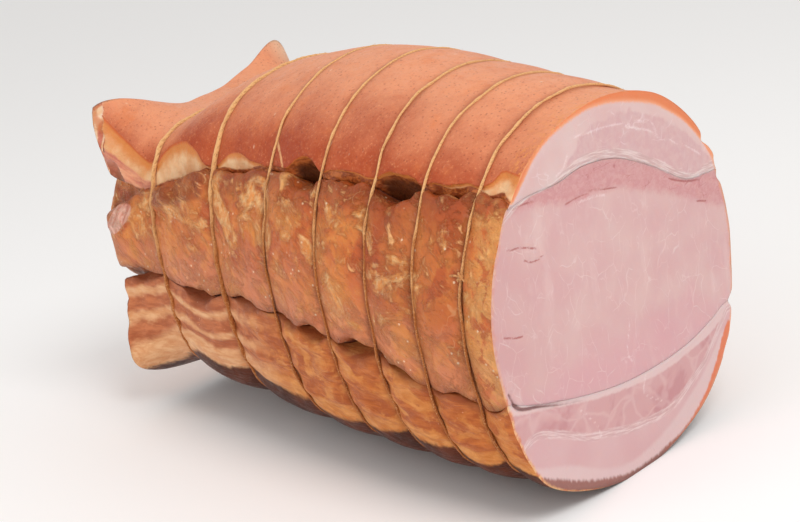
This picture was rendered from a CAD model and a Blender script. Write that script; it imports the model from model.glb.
"""A smoked, rolled and tied loin of pork: two slabs of belly round a loin, in seven loops of twine."""

import bpy
import numpy as np
from mathutils import Matrix, Vector


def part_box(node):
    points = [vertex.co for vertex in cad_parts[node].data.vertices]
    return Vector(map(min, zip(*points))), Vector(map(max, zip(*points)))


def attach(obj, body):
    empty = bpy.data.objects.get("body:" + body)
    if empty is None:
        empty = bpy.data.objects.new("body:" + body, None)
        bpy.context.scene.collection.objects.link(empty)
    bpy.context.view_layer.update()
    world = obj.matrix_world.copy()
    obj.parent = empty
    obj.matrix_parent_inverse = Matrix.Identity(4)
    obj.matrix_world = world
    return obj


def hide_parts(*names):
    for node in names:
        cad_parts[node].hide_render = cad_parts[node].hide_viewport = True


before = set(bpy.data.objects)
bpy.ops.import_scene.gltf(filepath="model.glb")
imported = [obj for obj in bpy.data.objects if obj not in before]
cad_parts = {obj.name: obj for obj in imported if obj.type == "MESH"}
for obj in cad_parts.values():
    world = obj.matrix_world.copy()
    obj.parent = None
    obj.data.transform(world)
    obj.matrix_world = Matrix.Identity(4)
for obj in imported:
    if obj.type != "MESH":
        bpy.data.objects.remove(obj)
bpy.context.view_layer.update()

MM = 0.001

# Shape of the section, in units of its half width and half height. It starts under the
# roll, goes up the near side (the one at -Y), over the top and down the far side.
OUTLINE = [
    (0.15, -0.99), (-0.30, -0.96), (-0.72, -0.79), (-0.90, -0.54), (-0.98, -0.26), (-1.02, 0.06),
    (-0.98, 0.32), (-0.88, 0.54), (-0.70, 0.78), (-0.40, 0.95), (0.02, 1.02), (0.45, 0.94),
    (0.76, 0.73), (0.93, 0.47), (1.02, 0.14), (1.02, -0.12), (0.97, -0.42), (0.87, -0.63), (0.60, -0.86),
]
TOP_REACH, BOTTOM_REACH, SIDE_REACH = 1.02, 0.99, 1.02
UPPER_SEAM = [(-0.85, 0.60), (-0.64, 0.68), (-0.41, 0.69), (-0.17, 0.72), (0.10, 0.68), (0.38, 0.56),
              (0.66, 0.41), (0.90, 0.38)]
LOWER_SEAM = [(-0.95, -0.26), (-0.79, -0.32), (-0.49, -0.40), (-0.12, -0.47), (0.23, -0.49), (0.55, -0.47),
              (0.90, -0.39)]
ROUND_POWER = 2.4
SQUARENESS = [(0, 2.4), (134, 2.4), (178, 2.8), (226, 3.5), (262, 3.5)]
UNIT = 75.0                     # half of the section, in mm, for turning small lengths into units

# What runs along the near side, as (distance behind the cut face in mm, height in units).
RIND_EDGE = [(0, 0.81), (8, 0.82), (11, 0.77), (17, 0.73), (21, 0.735), (28, 0.705), (36, 0.695),
             (44, 0.68), (53, 0.685), (61, 0.66), (69, 0.645), (84, 0.65), (93, 0.637), (100, 0.605),
             (110, 0.645), (122, 0.604), (136, 0.597), (145, 0.605), (156, 0.645), (166, 0.645),
             (175, 0.58), (183, 0.565), (193, 0.66), (202, 0.715), (213, 0.73), (220, 0.70), (226, 0.63),
             (239, 0.64), (251, 0.69), (262, 0.72)]
GAP_LINE = [(0, 0.68), (6, 0.72), (16, 0.70), (27, 0.68), (35, 0.66), (44, 0.645), (55, 0.625),
            (69, 0.61), (83, 0.61), (100, 0.58), (111, 0.59), (122, 0.58), (136, 0.57), (155, 0.57),
            (174, 0.54), (201, 0.525), (218, 0.495), (230, 0.46), (240, 0.40), (262, 0.26)]
LOW_LINE = [(0, -0.26), (5, -0.30), (17, -0.34), (27, -0.28), (37, -0.31), (45, -0.29), (52, -0.25),
            (61, -0.22), (70, -0.20), (99, -0.20), (110, -0.18), (127, -0.16), (156, -0.13), (180, -0.17),
            (199, -0.21), (215, -0.17), (241, -0.18), (262, -0.20)]
LOW_RIND_EDGE = [(0, -0.66), (8, -0.65), (28, -0.68), (45, -0.64), (71, -0.63), (100, -0.67),
                 (132, -0.65), (144, -0.62), (163, -0.585), (182, -0.605), (200, -0.614), (214, -0.60),
                 (240, -0.76), (262, -0.75)]
# Share of the upper slab's cut edge that is fat, along the near side.
FAT_EDGE = [(0, 0.55), (13, 0.60), (18, 0.10), (26, 0.30), (40, 0.05), (58, 0.15), (95, 0.05),
            (140, 0.10), (150, 0.55), (165, 0.65), (175, 0.30), (184, 0.50), (196, 0.78), (262, 0.50)]
FAR_RIND_EDGE = [(0, 0.46), (60, 0.50), (120, 0.46), (180, 0.50), (262, 0.47)]
FAR_GAP_LINE = [(0, 0.38), (60, 0.42), (120, 0.39), (180, 0.42), (262, 0.40)]
FAR_LOW_LINE = [(0, -0.38), (90, -0.36), (180, -0.41), (262, -0.38)]
# Open pockets in the seams: (distance, half opening, half length), all in mm.
UPPER_POCKETS = [(248, 2.0, 9), (206, 2.2, 15), (184, 1.6, 5), (160, 1.4, 12), (128, 0.8, 5), (110, 4.4, 10),
                 (82, 1.2, 8), (56, 4.8, 12), (34, 1.6, 5), (25, 1.6, 4), (8, 1.2, 4)]
LOWER_POCKETS = [(244, 3.0, 10), (199, 3.4, 9), (158, 2.0, 9), (127, 2.2, 7), (110, 3.0, 7), (80, 3.6, 9),
                 (67, 1.8, 4), (54, 1.6, 5), (38, 0.8, 4), (24, 0.8, 5)]
# Pale strands of fat on the near side, as places and heights along each: one across the upper
# gap and one short drop below it.
STRANDS = [[(135, 0.72), (128, 0.654), (123, 0.579), (118, 0.505)], [(64, 0.02), (65, -0.02)]]
OVAL_PLACE, OVAL_HEIGHT, OVAL_LENGTH, OVAL_WIDTH, OVAL_TILT = 248.0, 0.23, 12.0, 5.0, 0.77
# How far the loin's shoulder sinks below the upper gap, in mm, and how far down that reaches.
RECESS = [(0, 0.5), (20, 1.2), (60, 1.6), (110, 1.6), (150, 1.2), (178, 1.4), (186, 3.6), (216, 4.0),
          (228, 1.0), (262, 1)]
RECESS_REACH = (7, 14)
# How much the pocket undercuts the rind, from a plain fat edge (0) to an open hole (1).
HOLLOWS = [(0, 0.3), (24, 0.9), (60, 1.2), (100, 1.3), (120, 1.2), (142, 0.4), (180, 0.2), (262, 0.1)]
FAR_POCKETS = [(15, 1.4, 6), (52, 3.0, 10), (84, 2.0, 9), (115, 3.6, 10), (158, 2.4, 12), (200, 3.8, 14),
               (245, 3.0, 9)]
FACE_HALF_GAP, SEAM_HALF_GAP = 0.03, 0.25   # half widths of the seams at the face and inside the roll
RIND_LIP = 1.0                  # how far the rind stands over the edge it covers

# How far the free end moves aside and swells to the side, the top and the bottom, in mm
END_EXTRA = (7.0, 2.6, 0.8, -4.5)
TOP_SAG, SAG_START = 7.0, 188.0  # how far the top sinks towards the last loop, and from which place
GROOVE_REACH = 2.0              # how far a loop's stain spreads, in mm
OPEN_AIR = 6.0                  # how far behind the last loop the loin shows on all sides
FACE_DIM = 0.13                 # share of a darker pink laid over the whole cut
PLAIN, NO_TURN = (1, 1, 1), (0, 0, 0)

# Counts of points: round each part of a ring, and between stations along the roll.
SKIN_STEPS, EDGE_STEPS = 150, 20
LOIN_ACROSS, LOIN_SIDE, SHOULDER_STEPS = 104, 76, 10
STATION_STEP = 1.55


# Curves
def smooth_line(points, per_span=14, closed=False):
    """Catmull-Rom curve through the points."""
    pts = np.array(points, float)
    if closed:
        pts = np.vstack([pts[-1], pts, pts[0], pts[1]])
    else:
        pts = np.vstack([2 * pts[0] - pts[1], pts, 2 * pts[-1] - pts[-2]])
    t = np.linspace(0, 1, per_span, endpoint=False)[:, None]
    spans = []
    for a, b, c, d in zip(pts[:-3], pts[1:-2], pts[2:-1], pts[3:]):
        spans.append(0.5 * (2 * b + (c - a) * t + (2 * a - 5 * b + 4 * c - d) * t ** 2
                            + (3 * b - a - 3 * c + d) * t ** 3))
    if not closed:
        spans.append(pts[-2][None])
    return np.vstack(spans)


ring_line = smooth_line(OUTLINE, closed=True)
ring_line = np.vstack([ring_line, ring_line[0]])
ring_u = np.concatenate([[0], np.cumsum(np.linalg.norm(np.diff(ring_line, axis=0), axis=1))])
top_at = int(np.argmax(ring_line[:, 1]))


def on_outline(u):
    u = np.asarray(u)
    return np.stack([np.interp(u, ring_u, ring_line[:, 0]), np.interp(u, ring_u, ring_line[:, 1])], -1)


def near_u(height):
    return np.interp(height, ring_line[:top_at, 1], ring_u[:top_at])


def far_u(height):
    return np.interp(height, ring_line[top_at:, 1][::-1], ring_u[top_at:][::-1])


def table(pairs, at):
    """Reads a value that changes along the roll, smoothly between the given ones."""
    line = smooth_line(pairs, 10)
    return np.interp(at, line[:, 0], line[:, 1])


def smoothstep(value, low, high):
    t = np.clip((value - low) / (high - low), 0, 1)
    return t * t * (3 - 2 * t)


# Seeded noise
NOISE_CELLS = 32


def noise(points, size, seed):
    """Smooth noise from -1 to 1 with lumps of about this size, in the points' own units."""
    grid = np.random.default_rng(seed).uniform(-1, 1, (NOISE_CELLS,) * 3)
    scaled = np.asarray(points, float) / size
    cell = np.floor(scaled).astype(int)
    part = scaled - cell
    part = part * part * (3 - 2 * part)
    total = np.zeros(scaled.shape[:-1])
    for corner in range(8):
        step = np.array([corner & 1, corner >> 1 & 1, corner >> 2 & 1])
        weight = np.prod(np.where(step, part, 1 - part), axis=-1)
        at = (cell + step) % NOISE_CELLS
        total += weight * grid[at[..., 0], at[..., 1], at[..., 2]]
    return total


def rough(points, size, seed, octaves=3):
    total = 0
    for octave in range(octaves):
        total = total + noise(points, size / 2 ** octave, seed + octave) / 2 ** octave
    return total / 1.6


def along_noise(place, size, seed):
    points = np.stack([place, np.zeros_like(place), np.zeros_like(place)], -1)
    return rough(points, size, seed)


# Sizes read from the CAD frame
def node_points(name):
    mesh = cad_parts[name].data
    co = np.zeros(len(mesh.vertices) * 3)
    mesh.vertices.foreach_get("co", co)
    return co.reshape(-1, 3) / MM


cad = {name: node_points(name) for name in ("upper_slab", "loin", "lower_slab")}
loop_names = sorted(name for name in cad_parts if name.startswith("twine_loop_"))[::-1]
FACE_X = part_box("loin")[1].x / MM
BACK_PLACE = FACE_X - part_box("upper_slab")[0].x / MM
loop_places = np.array([FACE_X - np.median(node_points(name)[:, 0]) for name in loop_names])
LAST_LOOP = loop_places[-1]
OVERHANG = BACK_PLACE - LAST_LOOP


def ring_range(name, place, axis):
    points = cad[name]
    off = np.abs(points[:, 0] - (FACE_X - place))
    ring = points[off <= off.min() + 0.3]
    return ring[:, axis].min(), ring[:, axis].max()


def measure(place):
    low, high = ring_range("loin", place, 1)
    top = ring_range("upper_slab", place, 2)[1]
    bottom = ring_range("lower_slab", place, 2)[0]
    return np.array([(low + high) / 2, (high - low) / 2 / SIDE_REACH, top, bottom])


at_loops = np.array([measure(place) for place in loop_places])
mid_places = (loop_places[1:] + loop_places[:-1]) / 2
at_mids = np.array([measure(place) for place in mid_places])
at_face = measure(0)


def arch(place):
    """Zero where a loop bites into the roll, and one half way between two loops."""
    t = np.interp(place, loop_places, np.arange(len(loop_places)))
    value = np.sin(np.pi * (t % 1)) ** 0.55
    front = np.clip(1 - place / loop_places[0], 0, 1)
    behind = np.clip((place - LAST_LOOP) / OVERHANG, 0, 1)
    value = np.where(place <= loop_places[0], np.sin(front * np.pi / 2) ** 0.6, value)
    return np.where(place >= LAST_LOOP, np.sin(behind * np.pi / 2) ** 0.7, value)


def section(place):
    """Centre across, half width, middle height, half height and squareness, in mm."""
    place = np.asarray(place, float)
    lift = arch(place)
    bay = np.clip(np.searchsorted(loop_places, place) - 1, 0, len(mid_places) - 1)
    values = []
    for column in range(4):
        base = np.interp(place, loop_places, at_loops[:, column])
        swell = at_mids[:, column] - (at_loops[1:, column] + at_loops[:-1, column]) / 2
        value = base + lift * swell[bay]
        value = np.where(place < loop_places[0],
                         at_loops[0, column] + lift * (at_face[column] - at_loops[0, column]), value)
        value = np.where(place > LAST_LOOP, at_loops[-1, column] + lift * END_EXTRA[column], value)
        values.append(value)
    aside, half_width, top, bottom = values
    half_height = (top - bottom) / (TOP_REACH + BOTTOM_REACH)
    middle = top - TOP_REACH * half_height
    return aside, half_width, middle, half_height, table(SQUARENESS, place)


def power_mean(across, up, power):
    return (np.abs(across) ** power + np.abs(up) ** power) ** (1 / power)


# How each piece ends behind the last loop, where nothing holds it
def upper_end(across, up, out):
    near = smoothstep(-across, 0.2, 0.9)
    far = smoothstep(across, 0.0, 0.85)
    tip = smoothstep(across, 0.45, 0.95)
    middle = 1 - near - far
    slant = 40 * near * np.clip(0.72 - up, 0, 0.5)
    return (out * (12 * middle + 4 * far - 3 * near + slant), out ** 2 * (5 * far - 9 * near),
            out ** 2 * (12 * far + 18 * tip + 21 * near))


def loin_end(across, up, out):
    shrink = 1 - np.sqrt(1 - 0.8 * out ** 4)
    reach = np.minimum(power_mean(across, up, ROUND_POWER), 1)
    back = -16 * out + 9 * out ** 3 * reach ** 2
    return back, -30 * across * shrink - 8 * out ** 2, -46 * (up - 0.05) * shrink - 6 * up * out ** 8


def lower_end(across, up, out):
    low = smoothstep(-up, 0.3, 0.8)
    near = smoothstep(-across, 0.3, 0.9)
    far = smoothstep(across, 0.3, 0.9)
    return out * 3 * far, out ** 2 * low * (8 * far - 12 * near), -out ** 2 * (2 + 4 * low)


def place_on_roll(unit, place, end_shift):
    """Points of the section, bent onto the roll, in mm."""
    across, up = unit[..., 0], unit[..., 1]
    aside, half_width, middle, half_height, power = (v[:, None] for v in section(place))
    square = power_mean(across, up, ROUND_POWER) / np.maximum(power_mean(across, up, power), 1e-6)
    out = np.clip((place - LAST_LOOP) / OVERHANG, 0, 1)[:, None]
    dx, dy, dz = end_shift(across, up, out)
    x = FACE_X - place[:, None] + dx
    y = aside + across * square * half_width + dy
    sag = TOP_SAG * smoothstep(place, SAG_START, LAST_LOOP)[:, None] * np.clip(up, 0, 1) ** 2
    z = middle + up * square * half_height + dz - sag
    return np.stack([x + 0 * y, y, z], -1)


# Rings of the three pieces
def station_places():
    marks = [0.0, *loop_places, BACK_PLACE]
    places = [0.0, 0.35, 0.9]
    for start, stop in zip(marks[:-1], marks[1:]):
        count = max(4, int(round((stop - start) / STATION_STEP)))
        t = np.arange(1, count + 1) / count
        eased = 0.55 * t + 0.45 * (1 - np.cos(np.pi * t)) / 2
        places.extend(start + eased * (stop - start))
    places = np.array(places)
    return np.unique(np.round(places, 4))


def pockets(place, holes, seed):
    opening = np.full_like(place, 0.12)
    for centre, size, reach in holes:
        opening = opening + size * np.exp(-np.abs((place - centre) / reach) ** 4)
    pinch = 0.30 + 0.70 * arch(place)
    closed = smoothstep(place, 0.0, 3.0)
    return np.maximum(0.06, opening * pinch * (1 + 0.25 * along_noise(place, 5, seed))) * (0.2 + 0.8 * closed)


def bezier(a, b, c, d, steps):
    t = np.linspace(0, 1, steps)[None, :, None]
    a, b, c, d = (p[:, None, :] for p in (a, b, c, d))
    return a * (1 - t) ** 3 + 3 * b * t * (1 - t) ** 2 + 3 * c * t * t * (1 - t) + d * t ** 3


def arc(u0, u1, steps):
    t = np.linspace(0, 1, steps)[None, :]
    return on_outline(u0[:, None] * (1 - t) + u1[:, None] * t)


def seam_between(line, near, far, steps):
    """The seam's line from its near end to its far end, bent to meet both."""
    line = smooth_line(line)
    t = np.linspace(0, 1, steps)[None, :]
    across = near[:, :1] * (1 - t) + far[:, :1] * t
    up = np.interp(across, line[:, 0], line[:, 1])
    for end, way in ((near, 1), (far, -1)):
        off = end[:, 1:] - np.interp(end[:, :1], line[:, 0], line[:, 1])
        up = up + off * np.exp(-way * (across - end[:, :1]) / 0.12)
    return np.stack([across, up], -1)


def inward(points, amount):
    """Moves points of the outline towards the middle of the section, by mm."""
    size = np.linalg.norm(points, axis=-1, keepdims=True)
    return points * (1 - np.asarray(amount)[..., None] / UNIT / size)


class Seams:
    """Where the gaps between the pieces meet the outside, at every station."""

    def __init__(self, place):
        self.place = place
        self.upper_open = pockets(place, UPPER_POCKETS, 3)
        self.lower_open = pockets(place, LOWER_POCKETS, 5)
        self.far_open = pockets(place, FAR_POCKETS, 7)
        self.far_low_open = pockets(place[::-1] * 0.9 + 11, FAR_POCKETS, 9)
        wave = 0.006 * along_noise(place, 7, 11)
        self.half = FACE_HALF_GAP + (SEAM_HALF_GAP - FACE_HALF_GAP) * smoothstep(place, 1, 8)
        self.gap = table(GAP_LINE, place) + wave
        self.low = table(LOW_LINE, place) + 0.010 * along_noise(place, 8, 13)
        self.far_gap = table(FAR_GAP_LINE, place) + 0.015 * along_noise(place, 9, 15)
        self.far_low = table(FAR_LOW_LINE, place) + 0.015 * along_noise(place, 9, 17)
        inset = smoothstep(place, -2, 6)
        self.upper_near = inward(on_outline(near_u(self.gap)), (1.6 + 2.9 * self.upper_open) * inset)
        self.lower_near = inward(on_outline(near_u(self.low)), (1.6 + 2.0 * self.lower_open) * inset)
        self.upper_far = inward(on_outline(far_u(self.far_gap)), (1.8 + 2.2 * self.far_open) * inset)
        self.lower_far = inward(on_outline(far_u(self.far_low)), (1.8 + 2.0 * self.far_low_open) * inset)


def cut_edge(start_u, gap_height, opening, apex, to_u, bulge, hollow):
    """The cut edge of a slab: from the rind's edge along the outside, then into the gap."""
    lip_u = to_u(gap_height + opening / UNIT)
    lip = inward(on_outline(lip_u), 0.8 * opening)
    middle = inward(on_outline(start_u * 0.5 + lip_u * 0.5), hollow * opening)
    edge = bezier(on_outline(start_u), middle, lip + 0.25 * (apex - lip), apex, EDGE_STEPS)
    t = np.linspace(0, 1, EDGE_STEPS)
    lip_in = RIND_LIP * smoothstep(t, 0.0, 0.12) * (1 - smoothstep(t, 0.5, 0.9))
    return inward(edge, lip_in[None, :] * bulge[:, None])


def corner_reach(opening):
    """How much of the outline a corner's rounding takes, in units, beside a gap open by mm."""
    return 0.014 + 0.010 * opening


def shoulder(start, height, opening_sign, opening, to_u, steps):
    """A rounded corner from the depth of a gap out to the outline."""
    reach = corner_reach(opening)
    lip = on_outline(to_u(height + opening_sign * opening / UNIT))
    out = on_outline(to_u(height + opening_sign * (opening / UNIT + reach)))
    return bezier(start, lip + 0.35 * (start - lip), lip, out, steps)


def raised(points, amount):
    """Moves a row of section points per station up by mm."""
    lift = np.zeros_like(points)
    lift[..., 1] = amount.reshape((-1,) + (1,) * (points.ndim - 2)) / UNIT
    return points + lift


def upper_ring(seams):
    place = seams.place
    scallop = 0.008 * along_noise(place, 6, 21)
    lowest = seams.gap + seams.upper_open / UNIT + 0.015
    near_start = near_u(np.maximum(table(RIND_EDGE, place) + scallop, lowest))
    far_start = far_u(table(FAR_RIND_EDGE, place) + 0.02 * along_noise(place, 9, 23))
    apex_near, apex_far = raised(seams.upper_near, seams.half), raised(seams.upper_far, seams.half)
    bulge = 0.6 + 0.4 * along_noise(place, 6, 25)
    near = cut_edge(near_start, seams.gap, seams.upper_open, apex_near, near_u, bulge, table(HOLLOWS, place))
    far = cut_edge(far_start, seams.far_gap, seams.far_open, apex_far, far_u, bulge, np.full_like(place, 0.5))
    outer = arc(near_start, far_start, SKIN_STEPS)
    inner = raised(seam_between(UPPER_SEAM, seams.upper_near, seams.upper_far, SKIN_STEPS), seams.half)
    return {"outer": outer, "far": far, "inner": inner, "near": near}


def lower_ring(seams):
    near_start, far_start = raised(seams.lower_near, -seams.half), raised(seams.lower_far, -seams.half)
    near = shoulder(near_start, seams.low, -1, seams.lower_open, near_u, EDGE_STEPS)
    far = shoulder(far_start, seams.far_low, -1, seams.far_low_open, far_u, EDGE_STEPS)
    near_out = near_u(seams.low - seams.lower_open / UNIT - corner_reach(seams.lower_open))
    far_out = far_u(seams.far_low - seams.far_low_open / UNIT - corner_reach(seams.far_low_open))
    outer = on_wrapped(near_out, far_out, SKIN_STEPS)
    inner = raised(seam_between(LOWER_SEAM, seams.lower_near, seams.lower_far, SKIN_STEPS), -seams.half)
    return {"outer": outer, "far": far[:, ::-1], "inner": inner, "near": near[:, ::-1]}


def on_wrapped(near_out, far_out, steps):
    """The outline from the near side under the roll to the far side."""
    t = np.linspace(0, 1, steps)[None, :]
    u = near_out[:, None] * (1 - t) + (far_out - ring_u[-1])[:, None] * t
    return on_outline(np.where(u < 0, u + ring_u[-1], u))


def loin_side(low_start, up_start, to_u, low, low_open, gap, gap_open):
    lower = shoulder(low_start, low, 1, low_open, to_u, SHOULDER_STEPS)
    upper = shoulder(up_start, gap, -1, gap_open, to_u, SHOULDER_STEPS)[:, ::-1]
    start = to_u(low + low_open / UNIT + corner_reach(low_open))
    stop = to_u(gap - gap_open / UNIT - corner_reach(gap_open))
    return np.concatenate([lower[:, :-1], arc(start, stop, LOIN_SIDE), upper[:, 1:]], axis=1)


def loin_ring(seams):
    low_near, low_far = raised(seams.lower_near, seams.half), raised(seams.lower_far, seams.half)
    up_near, up_far = raised(seams.upper_near, -seams.half), raised(seams.upper_far, -seams.half)
    near = loin_side(low_near, up_near, near_u, seams.low, seams.lower_open, seams.gap, seams.upper_open)
    far = loin_side(low_far, up_far, far_u, seams.far_low, seams.far_low_open, seams.far_gap, seams.far_open)
    top = raised(seam_between(UPPER_SEAM, seams.upper_near, seams.upper_far, LOIN_ACROSS), -seams.half)
    bottom = raised(seam_between(LOWER_SEAM, seams.lower_near, seams.lower_far, LOIN_ACROSS), seams.half)
    return {"outer": top, "far": far[:, ::-1], "inner": bottom, "near": near[:, ::-1]}


# Blocks: a ring of four sides swept along the roll and closed by two caps.
# outer and inner run from near to far, near and far run from outer to inner.
def ring_of(sides):
    outer, far, inner, near = (sides[k] for k in ("outer", "far", "inner", "near"))
    return np.concatenate([outer, far[:, 1:], inner[:, ::-1][:, 1:], near[:, ::-1][:, 1:-1]], axis=1)


def coons(outer, far, inner, near):
    """A patch between four lines of points: rows go from outer to inner, columns from near to far."""
    across = np.linspace(0, 1, len(outer))[None, :, None]
    down = np.linspace(0, 1, len(near))[:, None, None]
    ruled = (outer[None] * (1 - down) + inner[None] * down
             + near[:, None] * (1 - across) + far[:, None] * across)
    corners = (outer[0] * (1 - across) * (1 - down) + outer[-1] * across * (1 - down)
               + inner[0] * (1 - across) * down + inner[-1] * across * down)
    return ruled - corners


def side_marks(counts):
    """Where in a ring each of its sides starts, and where the last one ends."""
    outer_n, edge_n = counts
    return np.cumsum([0, outer_n - 1, edge_n - 1, outer_n - 1, edge_n - 1])


def split_ring(ring, counts):
    """The four sides of one ring of points, each with both its ends."""
    closed, marks = np.vstack([ring, ring[0]]), side_marks(counts)
    outer, far, inner, near = (closed[a:b + 1] for a, b in zip(marks[:-1], marks[1:]))
    return outer, far, inner[::-1], near[::-1]


def grid_normals(points):
    round_way = np.roll(points, -1, axis=1) - np.roll(points, 1, axis=1)
    along_way = np.gradient(points, axis=0)
    normal = np.cross(along_way, round_way)
    return normal / np.maximum(np.linalg.norm(normal, axis=-1, keepdims=True), 1e-9)


def cap_indices(ring_start, counts, new_start):
    """Vertex numbers of a cap's grid: its rim is the ring, and its inside is new."""
    outer_n, edge_n = counts
    total = 2 * (outer_n + edge_n) - 4
    numbers = np.arange(total + 1) % total + ring_start
    outer, far, inner, near = split_ring(numbers[:total, None], counts)
    grid = np.zeros((edge_n, outer_n), int)
    grid[0], grid[-1] = outer[:, 0], inner[:, 0]
    grid[:, 0], grid[:, -1] = near[:, 0], far[:, 0]
    inside = (edge_n - 2) * (outer_n - 2)
    grid[1:-1, 1:-1] = np.arange(inside).reshape(edge_n - 2, outer_n - 2) + new_start
    return grid


def quads(grid, flip):
    a, b, c, d = grid[:-1, :-1], grid[:-1, 1:], grid[1:, 1:], grid[1:, :-1]
    corners = (a, d, c, b) if flip else (a, b, c, d)
    return np.stack([k.ravel() for k in corners], -1)


# Nicks of the far side, as (height, depth in mm, half width)
NOTCHES = [(0.57, 2.4, 0.030), (0.47, -1.2, 0.05), (0.34, 1.6, 0.030), (-0.37, 1.8, 0.035),
           (-0.60, 0.9, 0.05)]
NOTCH_REACH = 26.0              # how far behind the cut face the far side's notches run


def notched(unit, place):
    """The far side is nicked near the cut face, where the slabs and the loin meet."""
    fade = 1 - smoothstep(place, 0.4 * NOTCH_REACH, NOTCH_REACH)[:, None]
    amount = sum(depth * np.exp(-((unit[..., 1] - height) / width) ** 2) for height, depth, width in NOTCHES)
    far = smoothstep(unit[..., 0], 0.70, 0.86)
    moved = unit.copy()
    moved[..., 0] -= amount * fade * far / UNIT
    return moved


SKIN, EDGE, INSIDE, CUT_FACE, BACK_FACE = range(5)


class Block:
    """One piece of meat: its walls are a grid of stations along the roll and points round it."""

    def __init__(self, name, sides, end_shift, end_bulge):
        self.name, self.place, self.end_bulge = name, seams.place, end_bulge
        self.counts = sides["outer"].shape[1], sides["near"].shape[1]
        self.unit = notched(ring_of(sides), self.place)
        self.points = place_on_roll(self.unit, self.place, end_shift)
        self.rounds = self.unit.shape[1]
        marks, index = side_marks(self.counts), np.arange(self.rounds)
        self.side = np.searchsorted(marks[1:], index, side="right")
        off_skin = np.minimum(index - marks[1], marks[4] - index)
        self.edge_t = np.clip(off_skin / (self.counts[1] - 1), 0, 1)

    def displace(self, amount):
        """Moves the skin along its normals by mm, and keeps it off the floor."""
        self.points = self.points + grid_normals(self.points) * amount[..., None]
        self.points[..., 2] = np.maximum(self.points[..., 2], 0)

    def caps(self):
        """The cut face and the torn back end, as grids of points and of section coordinates."""
        rings = self.points[0], self.points[-1], self.unit[0], self.unit[-1]
        front, back, front_unit, back_unit = (coons(*split_ring(ring, self.counts)) for ring in rings)
        p = np.linspace(0, 1, self.counts[0])[None, :]
        q = np.linspace(0, 1, self.counts[1])[:, None]
        dome = (16 * p * (1 - p) * q * (1 - q)) ** 0.5
        front[..., 0] += cut_relief(front_unit, front) * (dome > 0)
        back[..., 0] -= self.end_bulge * dome
        back = back + ragged(back) * (dome > 0)[..., None]
        depth = q + 0 * p
        grids = front, back, front_unit, back_unit, depth[..., None]
        return [grid[1:-1, 1:-1].reshape(-1, grid.shape[-1]) for grid in grids]

    def build(self):
        front, back, front_unit, back_unit, depth = self.caps()
        stations, new = len(self.place), len(front)
        total = stations * self.rounds
        numbers = np.arange(total).reshape(stations, self.rounds)
        faces = np.vstack([quads(np.hstack([numbers, numbers[:, :1]]), False),
                           quads(cap_indices(0, self.counts, total), True),
                           quads(cap_indices(total - self.rounds, self.counts, total + new), False)])
        cap_faces = (self.counts[0] - 1) * (self.counts[1] - 1)
        kinds = np.concatenate([wall_kinds(self), np.repeat((CUT_FACE, BACK_FACE), cap_faces)])
        points = np.vstack([self.points.reshape(-1, 3), front, back])
        unit = np.vstack([self.unit.reshape(-1, 2), front_unit, back_unit])
        place = np.concatenate([np.repeat(self.place, self.rounds), np.repeat((0, BACK_PLACE), new)])
        values = {"across": unit[:, 0], "up": unit[:, 1], "place": place,
                  "depth": np.concatenate([np.tile(self.edge_t, stations), depth[:, 0], depth[:, 0]]),
                  "groove": np.exp(-(loop_distance(place) / GROOVE_REACH) ** 2)}
        values |= cut_values(unit) | seam_values(self.name, place, *unit.T)
        return make_mesh(self.name, points, faces.tolist(), values, kinds)


def ragged(points):
    """How far a torn end is from flat, along the roll."""
    along = 1.4 * rough(points, 9, 31) + 0.5 * noise(points, 2.5, 35)
    return np.stack([along, 0 * along, 0 * along], -1)


def linked(name, data):
    """An object of the scene with this mesh, lamp or camera."""
    thing = bpy.data.objects.new(name, data)
    bpy.context.scene.collection.objects.link(thing)
    return thing


def make_mesh(name, points, faces, values, kinds=None):
    mesh = bpy.data.meshes.new(name)
    mesh.from_pydata((points * MM).tolist(), [], faces)
    mesh.update()
    for key, value in values.items():
        layer = mesh.attributes.new(key, "FLOAT", "POINT")
        layer.data.foreach_set("value", np.asarray(value, np.float32))
    if kinds is not None:
        mesh.polygons.foreach_set("material_index", kinds.astype(np.int32))
    mesh.polygons.foreach_set("use_smooth", np.ones(len(faces), bool))
    return linked(name, mesh)


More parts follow.
